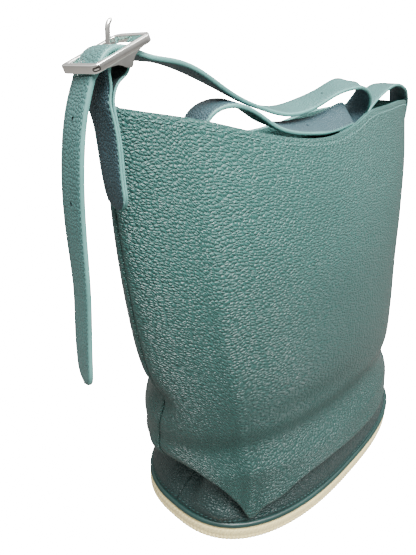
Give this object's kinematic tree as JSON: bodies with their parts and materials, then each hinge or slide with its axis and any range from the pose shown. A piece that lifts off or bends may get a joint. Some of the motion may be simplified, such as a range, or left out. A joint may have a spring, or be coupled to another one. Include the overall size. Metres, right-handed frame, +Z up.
{
  "type": "bucket bag",
  "caption": "Slouchy pebbled-leather bucket bag on an oval rope sole, with a folded-in flat shoulder strap, a pin buckle at one end and the strap's free end hanging outside.",
  "frame": {"origin": "centre of the flat underside of the rope sole, on the surface the bag stands on", "axes": "+X along the bag's long side, away from the buckle; +Y to the back panel, so the front panel faces -Y; +Z up"},
  "size_m": [0.3932, 0.1624, 0.3385],
  "materials": {
    "pebbled_leather": "dark green pebbled calf, satin, seen on both sides",
    "band_leather": "the same leather pulled tight round the base",
    "welt_leather": "smooth folded leather over a cord",
    "strap_leather": "two pebbled plies with painted edges and thread along both sides",
    "lining_leather": "unlined grain side, matt",
    "rope": "natural cream braided jute",
    "fibreboard": "brown bonded board, hidden",
    "polished_metal": "bright polished plated brass, silver coloured"
  },
  "bodies": {
    "bag": {"rope_sole": "rope", "base_board": "fibreboard", "floor_lining": "lining_leather", "welt": "welt_leather", "band_front": "band_leather", "band_back": "band_leather", "front_panel": "pebbled_leather", "back_panel": "pebbled_leather", "facing_front": "lining_leather", "facing_back": "lining_leather", "buckle_tab": "strap_leather", "shoulder_strap": "strap_leather"},
    "buckle": {"buckle_frame": "polished_metal", "buckle_bar": "polished_metal", "strap_turn": "strap_leather"},
    "pin": {"prong": "polished_metal"},
    "tail": {"strap_tail": "strap_leather"}
  },
  "joints": [
    {"name": "buckle_hinge", "type": "hinge", "parent": "bag", "child": "buckle", "pos_m": [-0.1815, 0, 0.322], "axis": [0, 1, 0], "range_deg": [-6, 10]},
    {"name": "prong_hinge", "type": "hinge", "parent": "buckle", "child": "pin", "pos_m": [-0.1815, 0, 0.322], "axis": [0, 1, 0], "range_deg": [0, 36]},
    {"name": "tail_swing", "type": "hinge", "parent": "buckle", "child": "tail", "pos_m": [-0.1999, 0, 0.3165], "axis": [0, 1, 0], "range_deg": [-6, 80]}
  ]
}
